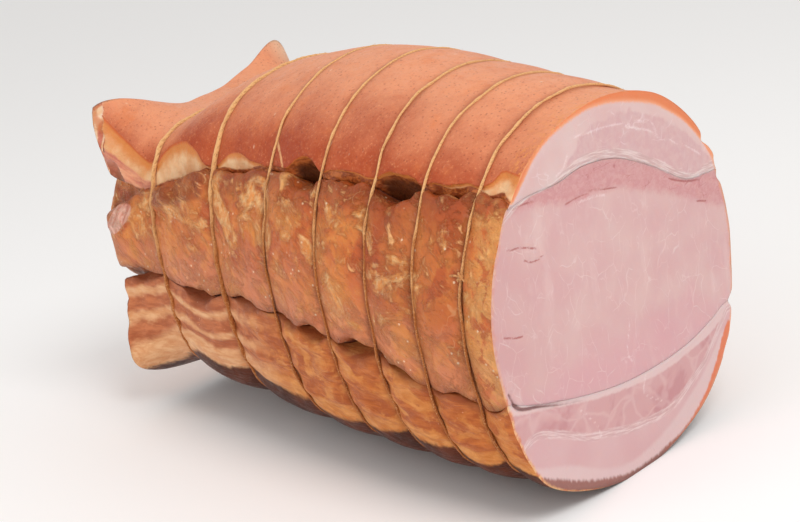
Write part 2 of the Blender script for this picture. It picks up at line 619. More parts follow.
# Lines on the cut face, in units of the section
FACE_LINES = {
    "fat_low": UPPER_SEAM,
    "rind": [
        (-0.74, 0.70), (-0.64, 0.79), (-0.55, 0.87), (-0.43, 0.94), (-0.28, 0.99), (-0.11, 1.02),
        (0.07, 1.01), (0.26, 0.97), (0.45, 0.91), (0.59, 0.83), (0.70, 0.75), (0.79, 0.66),
        (0.85, 0.59), (0.95, 0.45)],
    "lean_top": [
        (-0.70, 0.55), (-0.45, 0.66), (-0.25, 0.80), (-0.17, 0.87), (-0.04, 0.90), (0.08, 0.92),
        (0.17, 0.91), (0.36, 0.86), (0.48, 0.80), (0.57, 0.75), (0.69, 0.67), (0.80, 0.56), (0.95, 0.42)],
    "fat_top": [
        (-0.80, 0.68), (-0.56, 0.70), (-0.43, 0.71), (-0.31, 0.75), (-0.21, 0.77), (-0.07, 0.77),
        (0.07, 0.74), (0.21, 0.70), (0.34, 0.63), (0.48, 0.56), (0.62, 0.47), (0.75, 0.42), (0.89, 0.44)],
    "band": [
        (-0.90, 0.65), (-0.75, 0.64), (-0.62, 0.64), (-0.45, 0.60), (-0.28, 0.56), (-0.11, 0.55),
        (0.08, 0.53), (0.21, 0.48), (0.40, 0.41), (0.55, 0.35), (0.69, 0.29), (0.82, 0.23), (0.96, 0.17)],
    "strip": [
        (-0.96, -0.31), (-0.82, -0.35), (-0.65, -0.39), (-0.45, -0.44), (-0.27, -0.48), (-0.08, -0.51),
        (0.07, -0.53), (0.22, -0.54), (0.38, -0.54), (0.54, -0.52), (0.71, -0.50), (0.86, -0.45)],
    "fat_line": [
        (-0.98, -0.60), (-0.90, -0.52), (-0.83, -0.49), (-0.74, -0.50), (-0.57, -0.57), (-0.40, -0.65),
        (-0.22, -0.70), (-0.07, -0.74), (0.07, -0.76), (0.23, -0.77), (0.39, -0.75), (0.54, -0.69),
        (0.66, -0.63), (0.80, -0.52), (0.92, -0.42)],
    "pale": [
        (-0.95, -0.58), (-0.79, -0.65), (-0.56, -0.73), (-0.34, -0.84), (-0.15, -0.90), (0.02, -0.91),
        (0.21, -0.87), (0.38, -0.81), (0.53, -0.74), (0.70, -0.64), (0.84, -0.52)],
    "low_rind": [
        (-0.95, -0.66), (-0.76, -0.72), (-0.57, -0.81), (-0.40, -0.88), (-0.21, -0.94), (-0.07, -0.97),
        (0.09, -0.97), (0.25, -0.95), (0.41, -0.92), (0.57, -0.84), (0.68, -0.76), (0.80, -0.62),
        (0.90, -0.48)],
}
CRACKS = [
    [(-0.35, 0.57), (-0.27, 0.577), (-0.12, 0.575), (-0.02, 0.554), (0.08, 0.535)],
    [(-0.83, 0.486), (-0.72, 0.466), (-0.61, 0.427)],
    [(-0.72, 0.403), (-0.65, 0.37), (-0.57, 0.379)],
    [(-0.94, 0.085), (-0.86, 0.055), (-0.80, 0.044), (-0.78, 0.06)],
    [(0.52, 0.45), (0.66, 0.395), (0.80, 0.365)],
    [(0.75, 0.26), (0.84, 0.233)],
    [(-0.74, 0.66), (-0.68, 0.665), (-0.58, 0.653)],
]
CRACK_DEPTH, CRACK_WIDTH = 0.35, 0.5
WHITE_LINES = [
    [(-0.405, 0.728), (-0.344, 0.75), (-0.292, 0.807)],
    [(-0.25, 0.885), (-0.006, 0.866), (0.179, 0.848), (0.272, 0.829), (0.35, 0.819)],
    [(0.199, 0.817), (0.366, 0.762), (0.463, 0.699), (0.658, 0.603), (0.83, 0.502)],
    [(0.35, 0.819), (0.42, 0.79), (0.463, 0.699)],
    [(-0.252, 0.553), (-0.12, 0.545), (-0.038, 0.526)],
    [(0.05, -0.17), (0.0, -0.33), (0.03, -0.39)],
    [(-0.45, -0.47), (-0.33, -0.60), (-0.30, -0.68)],
    [(0.13, -0.50), (0.10, -0.60), (0.25, -0.70)],
]
LOW_GAP = [(-0.95, -0.20), (-0.92, -0.27), (-0.86, -0.315), (-0.74, -0.345), (-0.587, -0.39), (-0.40, -0.435)]


def line_distance(points, line):
    """Distance in mm from points of the section to a line of points."""
    best = np.full(len(points), 1e3)
    for a, b in zip(line[:-1], line[1:]):
        a, b = np.array(a), np.array(b)
        t = np.clip(((points - a) @ (b - a)) / ((b - a) @ (b - a)), 0, 1)[:, None]
        best = np.minimum(best, np.linalg.norm(points - a - t * (b - a), axis=1))
    return best * UNIT


def above(points, line):
    """Height in mm above a line that runs across the section."""
    line = smooth_line(line, 8)
    return (points[:, 1] - np.interp(points[:, 0], line[:, 0], line[:, 1])) * UNIT


def nearest(points, lines):
    return np.min([line_distance(points, smooth_line(line, 6)) for line in lines], axis=0)


def cut_values(unit):
    """What lies where on the cut face, in mm from its lines."""
    near_end, far_end = on_outline(near_u(unit[:, 1])), on_outline(far_u(unit[:, 1]))
    rim = np.minimum(unit[:, 0] - near_end[:, 0], far_end[:, 0] - unit[:, 0]) * UNIT
    lines = {name: above(unit, line) for name, line in FACE_LINES.items()}
    return lines | {"crack": nearest(unit, CRACKS), "white": nearest(unit, WHITE_LINES), "rim": rim,
                    "low_gap": nearest(unit, [LOW_GAP])}


def cut_relief(unit, points):
    """Height of the cut face above flat, in mm."""
    flat, spots = unit.reshape(-1, 2), points.reshape(-1, 3)
    wander = flat + 0.006 * np.stack([noise(spots, 4, 41), noise(spots, 4, 42)], -1)
    relief = 0.30 * rough(spots, 22, 43) + 0.08 * noise(spots, 3, 47)
    relief -= CRACK_DEPTH * np.exp(-(nearest(wander, CRACKS) / CRACK_WIDTH) ** 2)
    relief -= 1.1 * np.exp(-(nearest(wander, [LOW_GAP]) / 0.9) ** 2)
    return relief.reshape(unit.shape[:-1])


def strand_distance(place, across, up):
    """Distance in mm from the nearest pale strand on the near side."""
    at = np.column_stack([place / UNIT, up])
    lines = [np.array(line, float) / (UNIT, 1) for line in STRANDS]
    return np.where(across < 0, np.min([line_distance(at, line) for line in lines], axis=0), 99.0)


def oval_distance(place, across, up):
    """Distance from the pale oval on the loin's near side by its back end; 1 on the oval's edge."""
    x, z = OVAL_PLACE - place, (up - OVAL_HEIGHT) * UNIT
    turned_x = x * np.cos(OVAL_TILT) + z * np.sin(OVAL_TILT)
    turned_z = z * np.cos(OVAL_TILT) - x * np.sin(OVAL_TILT)
    return np.where(across < 0, np.hypot(turned_x / OVAL_LENGTH, turned_z / OVAL_WIDTH), 9.0)


def seam_values(name, place, across, up):
    """What the skins' paints read: distances from the seams in mm, strands, pockets and layers."""
    near = across < 0
    gap = np.where(near, table(GAP_LINE, place), table(FAR_GAP_LINE, place))
    low = np.where(near, table(LOW_LINE, place), table(FAR_LOW_LINE, place))
    gap_open = np.interp(place, seams.place, seams.upper_open)
    low_open = np.interp(place, seams.place, seams.lower_open)
    return {"gap_near": np.abs(up - gap) * UNIT - gap_open,
            "low_near": np.abs(up - low) * UNIT - low_open,
            "below": np.full(len(place), 1.0 if name == "lower_slab_meat" else -1.0),
            "sunk": recess(place, across, up) * (name == "loin_meat"),
            "strand": strand_distance(place, across, up),
            "oval": oval_distance(place, across, up),
            "pocket": gap_open * near * np.minimum(1, table(HOLLOWS, place)),
            "fatness": table(FAT_EDGE, place),
            "layer": (low - up) / (low - table(LOW_RIND_EDGE, place))}


# Skins of the three pieces
def loop_distance(place):
    return np.min(np.abs(place[:, None] - loop_places), axis=1)


def free(place):
    """How much of a skin's relief is left beside the cut face and under the loops."""
    held = 1 - 0.9 * np.exp(-(loop_distance(place) / 1.2) ** 2)
    return ((0.35 + 0.65 * smoothstep(place, 0, 4)) * held)[:, None]


def upper_relief(block):
    points, edge = block.points, block.edge_t[None, :]
    skin = 0.35 * rough(points, 24, 51) + 0.10 * noise(points, 5, 54)
    lumps = 1.2 * rough(points, 7, 55) * np.sin(np.pi * edge) + 0.3
    return np.where(block.side == 0, skin, lumps * (1 - edge)) * free(block.place)


def recess(place, across, up):
    """How far a point of the loin's near side sinks below the upper gap, in mm."""
    below = (table(GAP_LINE, place) - up) * UNIT
    return table(RECESS, place) * smoothstep(below, RECESS_REACH[1], RECESS_REACH[0]) * (across < 0)


def loin_relief(block):
    points, across, up = block.points, block.unit[..., 0], block.unit[..., 1]
    place = np.broadcast_to(block.place[:, None], up.shape)
    upper = smoothstep(up, 0.0, 0.4)
    lumps = (0.7 + 0.8 * upper) * rough(points, 15, 61) + (0.25 + 0.35 * upper) * rough(points, 5, 65, 2)
    under_lip = smoothstep((table(GAP_LINE, place) - up) * UNIT, 22, 8) * (across < 0)
    lumps = lumps + under_lip * 1.1 * rough(points, 8, 70, 2)
    folds = 0.5 * np.abs(noise(points * np.array([1.0, 1.0, 0.45]), 6, 68))
    sunk = recess(place, across, up) * (0.7 + 0.6 * noise(points, 5, 69))
    return np.where(block.side % 2 == 1, lumps - folds * upper - sunk, 0) * free(block.place)


def lower_relief(block):
    points, up = block.points, block.unit[..., 1]
    on_side = smoothstep(up, -0.72, -0.60) * (block.side != 2)
    layers = np.sin(up * 42 + 2.2 * rough(points, 26, 71)) * 0.55
    lumps = 1.0 * rough(points, 11, 73) + 0.35 * rough(points, 4, 76, 2)
    relief = on_side * (layers + lumps) + (1 - on_side) * 0.3 * rough(points, 20, 79)
    return np.where(block.side != 2, relief, 0) * free(block.place)


def wall_kinds(block):
    """Which material each quad of the walls has."""
    side = np.tile(block.side, len(block.place) - 1)
    if block.name == "loin_meat":
        open_air = np.repeat(block.place[:-1], block.rounds) > LAST_LOOP + OPEN_AIR
        return np.where((side % 2 == 0) & ~open_air, INSIDE, SKIN)
    edge = EDGE if block.name == "upper_slab_meat" else SKIN
    return np.select([side == 0, side == 2], [SKIN, INSIDE], edge)


seams = Seams(station_places())
blocks, pieces = {}, {}
for key, ring, end, bulge, relief in (("upper_slab", upper_ring, upper_end, 1.0, upper_relief),
                                      ("loin", loin_ring, loin_end, 12.0, loin_relief),
                                      ("lower_slab", lower_ring, lower_end, 1.0, lower_relief)):
    blocks[key] = Block(key + "_meat", ring(seams), end, bulge)
    blocks[key].displace(relief(blocks[key]))
    pieces[key] = blocks[key].build()


# Twine
TWINE_RADIUS, HEAVY_RADIUS, HEAVY_LOOPS = 0.56, 1.08, 2
PLIES, TWINE_SIDES, STEPS_PER_TURN, TURN_LENGTH = 3, 12, 9, 5.5
SINK = 1.1                     # share of the twine's radius pressed into the meat
FRONT_KNOT_HEIGHT = 0.33


def hull(points):
    """Convex outline of points in a plane, which is how tight twine crosses hollows."""
    points = sorted(map(tuple, points))

    def half(sequence):
        chain = []
        for p in sequence:
            while len(chain) > 1 and ((chain[-1][0] - chain[-2][0]) * (p[1] - chain[-2][1])
                                      - (chain[-1][1] - chain[-2][1]) * (p[0] - chain[-2][0])) <= 0:
                chain.pop()
            chain.append(p)
        return chain[:-1]

    return np.array(half(points) + half(points[::-1]))


def even(points, count):
    """The same closed line with evenly spaced points."""
    closed = np.vstack([points, points[0]])
    length = np.concatenate([[0], np.cumsum(np.linalg.norm(np.diff(closed, axis=0), axis=1))])
    at = np.linspace(0, length[-1], count, endpoint=False)
    return np.stack([np.interp(at, length, closed[:, k]) for k in range(closed.shape[1])], -1), length[-1]


def loop_path(number, radius):
    place = loop_places[number]
    rings = []
    for block in blocks.values():
        near = np.abs(block.place - place) < 1.0
        rings.append(block.points[near][..., 1:].reshape(-1, 2))
    line, length = even(hull(np.vstack(rings)), 720)
    for _ in range(30):
        line = (np.roll(line, 1, axis=0) + 2 * line + np.roll(line, -1, axis=0)) / 4
    way = np.roll(line, -1, axis=0) - np.roll(line, 1, axis=0)
    outward = np.stack([way[:, 1], -way[:, 0]], -1) / np.linalg.norm(way, axis=1)[:, None]
    line = line + outward * radius * (1 - SINK)
    line[:, 1] = np.maximum(line[:, 1], radius * 1.35)
    turn = 2 * np.pi * np.arange(len(line)) / len(line)
    seed = np.random.default_rng(100 + number)
    wobble = sum(seed.uniform(-0.35, 0.35) * np.sin(k * turn + seed.uniform(0, 6))
                 for k in (1, 2, 3, 5, 9, 17, 31))
    return np.column_stack([FACE_X - place + wobble, line]), length


def frames_along(path, closed):
    """The way a line runs at each point, and two directions across it."""
    way = np.roll(path, -1, axis=0) - np.roll(path, 1, axis=0) if closed else np.gradient(path, axis=0)
    way = way / np.linalg.norm(way, axis=1)[:, None]
    first = np.cross(way, np.array([1.0, 0.0, 0.0]))
    weak = np.linalg.norm(first, axis=1) < 0.2
    first[weak] = np.cross(way[weak], np.array([0.0, 0.0, 1.0]))
    first = first / np.linalg.norm(first, axis=1)[:, None]
    return way, first, np.cross(way, first)


def plied(path, radius, turns, closed, seed):
    """A tube with the lobes of twisted plies."""
    _, first, second = frames_along(path, closed)
    steps = len(path)
    angle = np.linspace(0, 2 * np.pi, TWINE_SIDES, endpoint=False)[None, :]
    twist = 2 * np.pi * turns * np.arange(steps)[:, None] / steps
    lobes = np.abs(np.cos(PLIES / 2 * (angle - twist))) ** 0.55
    uneven = 1 + 0.36 * along_noise(np.arange(steps) * 1.0, 6, seed)
    girth = radius * (0.84 + 0.20 * lobes) * uneven[:, None]
    points = (path[:, None] + first[:, None] * (np.cos(angle) * girth)[..., None]
              + second[:, None] * (np.sin(angle) * girth)[..., None])
    rows = np.arange(steps * TWINE_SIDES).reshape(steps, TWINE_SIDES)
    rows = np.hstack([rows, rows[:, :1]])
    if closed:
        rows = np.vstack([rows, rows[:1]])
    faces = quads(rows, False).tolist()
    if not closed:
        faces.append(list(range(TWINE_SIDES))[::-1])
        faces.append(list(range((steps - 1) * TWINE_SIDES, steps * TWINE_SIDES)))
    return points.reshape(-1, 3), faces, lobes.ravel()


def knot_lines(centre, outward, along, radius):
    """A granny knot's two turns and its cut tails, as lines of points round a spot on the loop."""
    side = np.cross(outward, along)
    t = np.linspace(0, 2 * np.pi, 40)[:, None]
    lines = []
    for shift, tilt in ((-0.9, 0.5), (1.0, -0.6)):
        middle = centre + outward * radius * 0.7 + along * shift * radius * 1.3
        lean = side + tilt * along
        lines.append(middle + radius * 1.7 * (np.cos(t) * lean + np.sin(t) * outward * 0.75)
                     + along * radius * 0.5 * np.sin(2 * t))
    s = np.linspace(0, 1, 14)[:, None]
    for sign in (-1, 1):
        start = centre + outward * radius * 1.3
        lines.append(start + side * sign * s * 5.5 + along * (sign * 1.5 * s + 2.0 * s ** 2)
                     + outward * (1.2 * s - 1.9 * s ** 2))
    return lines


def thin_fibres(path, radius, seed, count):
    """Loose ends of cotton that stand off the twine."""
    random = np.random.default_rng(seed)
    points, faces = [], []
    way, first, second = frames_along(path, True)
    for _ in range(count):
        i = random.integers(0, len(path))
        angle = random.uniform(0, 2 * np.pi)
        out = first[i] * np.cos(angle) + second[i] * np.sin(angle)
        start = path[i] + out * radius * 0.8
        bend = way[i] * random.uniform(-1, 1) * 1.6 + out * random.uniform(0.2, 0.7)
        wide = np.cross(way[i], out) * 0.045
        base = len(points)
        for t in (0.0, 0.5, 1.0):
            spot = start + bend * t + out * 0.35 * np.sin(np.pi * t)
            points += [spot - wide * (1 - 0.6 * t), spot + wide * (1 - 0.6 * t), spot + out * 0.07]
        for row in (0, 3):
            for a, b in ((0, 1), (1, 2), (2, 0)):
                faces.append([base + row + a, base + row + b, base + row + 3 + b, base + row + 3 + a])
        faces.append([base, base + 2, base + 1])
        faces.append([base + 6, base + 7, base + 8])
    return np.array(points), faces, np.ones(len(points))


def knot_spot(number, path):
    """Which point of a loop its knot sits on: on the near side by the cut face, else on the far side."""
    if number == 0:
        _, _, middle, half_height, _ = section(loop_places[:1])
        height, way = middle[0] + FRONT_KNOT_HEIGHT * half_height[0], 1
    else:
        height, way = path[:, 2].mean(), -1
    wrong_side = way * path[:, 1] > way * path[:, 1].mean()
    return np.argmin(np.abs(path[:, 2] - height) + np.where(wrong_side, 1e3, 0))


def knot_parts(number, path, radius):
    spot = knot_spot(number, path)
    along = path[(spot + 2) % len(path)] - path[spot - 2]
    along = along / np.linalg.norm(along)
    outward = np.cross(np.array([1.0, 0, 0]), along)
    outward = outward * np.sign(outward @ (path[spot] - path.mean(0)))
    return [plied(line, radius * 0.85, 4, False, 300 + k)
            for k, line in enumerate(knot_lines(path[spot], outward, along, radius))]


def twine_piece(number, name):
    radius = HEAVY_RADIUS if number >= len(loop_names) - HEAVY_LOOPS else TWINE_RADIUS
    path, length = loop_path(number, radius)
    turns = int(round(length / (TURN_LENGTH * radius / TWINE_RADIUS)))
    path, _ = even(path, turns * STEPS_PER_TURN)
    parts = [plied(path, radius, turns, True, 200 + number)]
    if number in (0, len(loop_names) - 1):
        parts += knot_parts(number, path, radius)
    parts.append(thin_fibres(path, radius, 400 + number, 260))
    points, faces, lobes = zip(*parts)
    starts = np.cumsum([0] + [len(part) for part in points])
    joined = [[i + start for i in face] for start, part in zip(starts.tolist(), faces) for face in part]
    points = np.vstack(points)
    values = {"lobe": np.concatenate(lobes), "high": points[:, 2] / points[:, 2].max()}
    return make_mesh(name.replace("twine_loop", "tied_twine"), points, joined, values)


twines = {name: twine_piece(number, name) for number, name in enumerate(loop_names)}


# Materials
def tone(*shades):
    """A colour given as it is seen on a screen, 0 to 255, made linear."""
    parts = [c / 255 for c in shades]
    return (*(c / 12.92 if c <= 0.04045 else ((c + 0.055) / 1.055) ** 2.4 for c in parts), 1.0)


class Value:
    """What a shader node gives out, with plain arithmetic."""

    def __init__(self, paint, socket):
        self.paint, self.socket = paint, socket

    def __add__(self, other):
        return self.paint.math("ADD", self, other)

    def __sub__(self, other):
        return self.paint.math("SUBTRACT", self, other)

    def __mul__(self, other):
        return self.paint.math("MULTIPLY", self, other)

    def step(self, low, high, to_low=0.0, to_high=1.0):
        """Smoothly from to_low at low to to_high at high."""
        if high < low:
            low, high, to_low, to_high = high, low, to_high, to_low
        inputs = {"Value": self, "From Min": low, "From Max": high, "To Min": to_low, "To Max": to_high}
        return self.paint.node("MapRange", "Result", inputs, interpolation_type="SMOOTHSTEP")

    def between(self, low, high, soft):
        return self.step(low - soft, low + soft) * self.step(high + soft, high - soft)


class Paint:
    """A material, built up colour over colour. Plain colours are given as seen on a screen."""

    def __init__(self, name):
        self.material = bpy.data.materials.new(name)
        self.material.use_nodes = True
        self.tree = self.material.node_tree
        self.tree.nodes.clear()
        self.coords = self.node("TexCoord", "Object")

    def node(self, kind, output, inputs=(), **settings):
        """Adds a node, fills its inputs and gives what comes out of it."""
        node = self.tree.nodes.new("ShaderNode" + kind)
        for key, value in settings.items():
            setattr(node, key, value)
        for key, value in dict(inputs).items():
            if isinstance(value, Value):
                self.tree.links.new(value.socket, node.inputs[key])
            else:
                node.inputs[key].default_value = value
        return Value(self, node.outputs[output])

    def attr(self, name):
        return self.node("Attribute", "Fac", attribute_name=name)

    def math(self, operation, a, b):
        return self.node("Math", 0, {0: a, 1: b}, operation=operation)

    def mix(self, share, a, b):
        a, b = (tone(*colour) if isinstance(colour, tuple) else colour for colour in (a, b))
        return self.node("Mix", 2, {0: share, 6: a, 7: b}, data_type="RGBA")

    def lay(self, share, over):
        """Lays another colour over what is there."""
        self.colour = self.mix(share, self.colour, over)

    def turned(self, stretch, turn):
        if stretch == PLAIN and turn == NO_TURN:
            return self.coords
        inputs = {"Vector": self.coords, "Rotation": turn, "Scale": stretch}
        return self.node("Mapping", 0, inputs, vector_type="TEXTURE")

    def noise(self, size, detail=3.0, rough=0.55, bend=0.0, stretch=PLAIN, turn=NO_TURN, seed=0.0):
        """Noise from 0 to 1 with lumps of this size in mm."""
        inputs = {"Vector": self.turned(stretch, turn), "W": seed, "Scale": 1 / (size * MM),
                  "Detail": detail, "Roughness": rough, "Distortion": bend}
        return self.node("TexNoise", "Fac", inputs, noise_dimensions="4D")

    def drift(self, amount, *size, **look):
        """Noise centred on zero and this wide."""
        return (self.noise(*size, **look) - 0.5) * amount

    def noise_on(self, x, y, detail):
        """Noise in coordinates of its own, such as along and across a seam."""
        vector = self.node("CombineXYZ", 0, {0: x, 1: y})
        inputs = {"Vector": vector, "Scale": 1.0, "Detail": detail, "Roughness": 0.65}
        return self.node("TexNoise", "Fac", inputs)

    def cells(self, size, feature="DISTANCE_TO_EDGE", bend=0.0, stretch=PLAIN, turn=NO_TURN):
        """Distance in Voronoi cells of this size in mm, warped by noise."""
        vector, scale = self.turned(stretch, turn), 1 / (size * MM)
        if bend:
            warp = self.node("TexNoise", "Color", {"Vector": vector, "Scale": scale * 0.9, "Detail": 2.0})
            shift = {0: warp, 1: (bend * size * MM,) * 3, 2: vector}
            vector = self.node("VectorMath", 0, shift, operation="MULTIPLY_ADD")
        return self.node("TexVoronoi", "Distance", {"Vector": vector, "Scale": scale}, feature=feature)

    def finish(self, roughness, height=None, bump=0.5, reach=1.0, flesh=0.15, flesh_reach=4.0, sheen=0.0,
               gloss=0.5):
        """The surface shader; height is in mm."""
        inputs = {"Base Color": self.colour, "Roughness": roughness, "Specular IOR Level": gloss,
                  "Subsurface Weight": flesh, "Subsurface Radius": (1.0, 0.45, 0.3),
                  "Subsurface Scale": flesh_reach * MM, "Sheen Weight": sheen}
        if height is not None:
            relief = {"Strength": bump, "Distance": reach * MM, "Height": height}
            inputs["Normal"] = self.node("Bump", "Normal", relief)
        shader = self.node("BsdfPrincipled", 0, inputs)
        output = self.tree.nodes.new("ShaderNodeOutputMaterial")
        self.tree.links.new(shader.socket, output.inputs["Surface"])
        return self.material


def strand_share(p, reach, share):
    return (p.attr("strand") + p.noise(2, 3, seed=8) * 1.2).step(reach, 0.9, 0, share)


def low_share(p, wander, start, stop):
    return (p.attr("low_near") + p.noise(6, 3, seed=3) * wander).step(start, stop)


def rind_paint():
    """Smoked skin: satin orange-brown, pinker over the top, with fine pores."""
    p = Paint("smoked_rind")
    place, blotch = p.attr("place"), p.noise(26, 4, 0.6)
    fine, pores = p.noise(1.3, 5, 0.8), p.cells(2.2, "F1")
    high = p.attr("up") + (blotch - 0.5) * 0.3 + place.step(190, 245, 0, 0.16)
    p.colour = p.mix(blotch.step(0.35, 0.7), (168, 64, 24), (190, 84, 36))
    p.lay(high.step(0.68, 1.04) * 0.92, (238, 158, 116))
    p.lay(strand_share(p, 1.5, 0.8), (240, 180, 124))
    p.lay(place.step(246, 260) * p.attr("across").step(0.62, 0.80, 0, 0.75), (240, 196, 160))
    p.lay(p.noise(9, 5, 0.7, 0.5, seed=4).step(0.50, 0.76, 0, 0.35), (180, 76, 36))
    p.lay(p.noise(13, 5, 0.7, 0.5, seed=6).step(0.52, 0.74, 0, 0.5), (224, 124, 66))
    p.lay(fine.step(0.53, 0.66, 0, 0.5), (238, 160, 110))
    p.lay(fine.step(0.46, 0.32, 0, 0.5), (156, 60, 26))
    p.lay(pores.step(0.24, 0.10, 0, 0.45), (140, 54, 28))
    p.lay(p.cells(17, "F1", bend=0.6, stretch=(0.6, 1, 1)).step(0.07, 0.02) * 0.6, (246, 208, 178))
    p.lay(p.attr("groove") * 0.55, (136, 58, 24))
    face = (place + (blotch - 0.5) * 16).step(12, 1)
    p.lay(face * p.noise(1.4, 3, 0.7, stretch=(1, 2.5, 2.5)).step(0.46, 0.66, 0, 0.75), (232, 150, 76))
    height = fine * 0.6 + pores.step(0.0, 0.25) * 0.25 + p.noise(6, 3) * 0.8
    return p.finish(p.noise(5, 3).step(0.3, 0.7, 0.38, 0.55), height, 0.7, 1.0, 0.10, 3.0, gloss=0.30)


def edge_paint():
    """The slab's own cut edge under the rind: fat, then smoked lean, then the dark of the gap."""
    p = Paint("slab_edge")
    depth, place = p.attr("depth"), p.attr("place")
    at, back = depth + p.drift(0.22, 7, 3, 0.6), place.step(226, 234)
    fat = p.mix(p.noise(7, 3, 0.5).step(0.35, 0.7), (220, 158, 106), (236, 192, 146))
    fat = p.mix(at.step(0.36, 0.10, 0, 0.9), fat, (210, 124, 54))
    smoked = p.mix(p.noise(4, 5, 0.65, 1.6, (1.5, 1, 0.7)).step(0.42, 0.60), (142, 66, 28), (196, 110, 54))
    layers = p.noise_on(depth * 5.0, place * 0.05, 3)
    pink = p.mix(layers.step(0.30, 0.70), (188, 106, 86), (226, 160, 122))
    lean_from = p.attr("fatness") - back * 0.15
    p.colour = p.mix((at - lean_from).step(-0.03, 0.05), fat, p.mix(back, smoked, pink))
    p.lay(p.attr("pocket").step(1.4, 3.4) * at.step(0.10, 0.45) * 0.85, (76, 38, 20))
    p.lay(depth.step(0.80, 1.0, 0, 0.8), (104, 52, 24))
    p.lay(depth.step(0.07, 0.0), (196, 92, 42))
    height = p.noise(3, 4, 0.6, 0.6) + p.noise(1.0, 2) * 0.3
    return p.finish(0.40, height, 0.7, 1.2, 0.12, 3.0, gloss=0.3)


def loin_paint():
    """The smoked outside of the loin: golden, blotched with fat above and pinker below."""
    p = Paint("smoked_loin")
    place, gap, blotch = p.attr("place"), p.attr("gap_near"), p.noise(24, 4, 0.55, 0.6)
    ragged_fat = p.noise(17, 9, 0.62, 0.9, (1.3, 1, 1), (0, 0.5, 0), 7)
    flecks = p.noise(7, 8, 0.66, 1.0, (1.8, 1, 1), (0, 0.7, 0), 9)
    fibres = p.noise(2.4, 5, 0.65, 0.5, (3.5, 1, 1), (0, 0.75, 0))
    upper = (p.attr("up") + (blotch - 0.5) * 0.9).step(-0.15, 0.25)
    p.colour = p.mix(blotch.step(0.38, 0.64), (198, 98, 38), (218, 128, 58))
    p.lay(upper.step(1, 0, 0, 0.70), (216, 132, 92))
    p.lay(p.noise(12, 5, 0.6, 0.8, seed=12).step(0.48, 0.66, 0, 0.6), (226, 146, 66))
    p.lay(p.noise(20, 6, 0.6, 0.9, seed=11).step(0.52, 0.62) * upper.step(0, 1, 0.25, 0.8), (188, 84, 34))
    p.lay(fibres.step(0.54, 0.74, 0, 0.35), (232, 166, 98))
    p.lay(fibres.step(0.46, 0.26, 0, 0.30), (176, 84, 36))
    # Darker under the upper gap and between the first loops
    shade = (gap + p.noise(9, 4, 0.6, seed=13) * 14).step(22, 9)
    p.lay(shade * place.step(200, 140, 0.25, 0.65), (150, 60, 20))
    p.lay(place.between(14, 68, 8) * upper.step(0, 1, 0.08, 0.42), (160, 66, 22))
    # Fat, thickest in the upper half and along the front
    cream = p.mix(p.noise(3.0, 5, 0.7, 0.8).step(0.42, 0.60), (238, 152, 74), (250, 196, 134))
    p.lay(ragged_fat.step(0.51, 0.60) * upper.step(0, 1, 0.15, 0.85), cream)
    p.lay(flecks.step(0.57, 0.66) * upper.step(0, 1, 0.2, 0.7), (250, 190, 126))
    p.lay(place.step(22, 4) * ragged_fat.step(0.44, 0.52) * 0.6, (244, 172, 98))
    p.lay(place.step(24, 6) * p.noise(9, 6, 0.6, 0.9, seed=20).step(0.54, 0.60) * 0.7, (196, 86, 36))
    # Both seams, and the shoulder that sinks below the upper one
    p.lay((gap + p.noise(5, 3, seed=19) * 4).step(6.5, 1.5) * 0.55, (140, 60, 22))
    torn = p.noise(2.0, 4, 0.6, 0.6, (6, 1, 1), (0, 0.45, 0), 16).step(0.54, 0.62, 0, 0.8)
    sunk = (p.attr("sunk") + (fibres - 0.5)).step(1.6, 3.2)
    p.lay(sunk * 0.75, p.mix(torn, (152, 70, 28), (230, 162, 100)))
    p.lay(low_share(p, 6, 8.0, 2.5) * 0.60, (126, 60, 30))
    # The pale oval, strands, specks and threads
    oval = (p.attr("oval") + p.drift(0.6, 8, 3, seed=17)).step(1.05, 0.85)
    streaks = p.noise(2.0, 3, 0.6, 0.4, (1, 1, 5), (0, 0.6, 0), 18).step(0.4, 0.6)
    p.lay(oval * 0.85, p.mix(streaks, (214, 140, 120), (236, 184, 164)))
    strand = strand_share(p, 1.8, 0.7)
    p.lay(strand, (240, 178, 108))
    specks = p.cells(3.8, "F1").step(0.17, 0.08) * p.noise(14, 2, seed=5).step(0.48, 0.58)
    p.lay(specks * 0.8, (246, 214, 180))
    threads = p.cells(13, bend=2.4, stretch=(1.7, 1, 1), turn=(0, 0.6, 0)).step(0.018, 0.004)
    p.lay(threads * p.noise(9, 2, seed=6).step(0.54, 0.64) * 0.3, (236, 190, 140))
    p.lay(p.attr("groove") * 0.60, (124, 60, 26))
    height = fibres * 0.6 + ragged_fat.step(0.46, 0.64) * 1.3 + flecks.step(0.50, 0.66) * 0.6
    height = height + strand * 0.5 + p.noise(1.8, 4, 0.6, seed=9) * 0.3
    roughness = p.noise(4, 3, seed=8).step(0.3, 0.7, 0.26, 0.46)
    return p.finish(roughness, height, 0.85, 1.3, 0.08, 3.0, gloss=0.35)


def layered(at, bands, lean, fat):
    """Lean crossed by bands of fat, each given by where it starts, where it ends and its softness."""
    for low, high, soft in bands:
        lean = at.paint.mix(at.between(low, high, soft), lean, fat)
    return lean


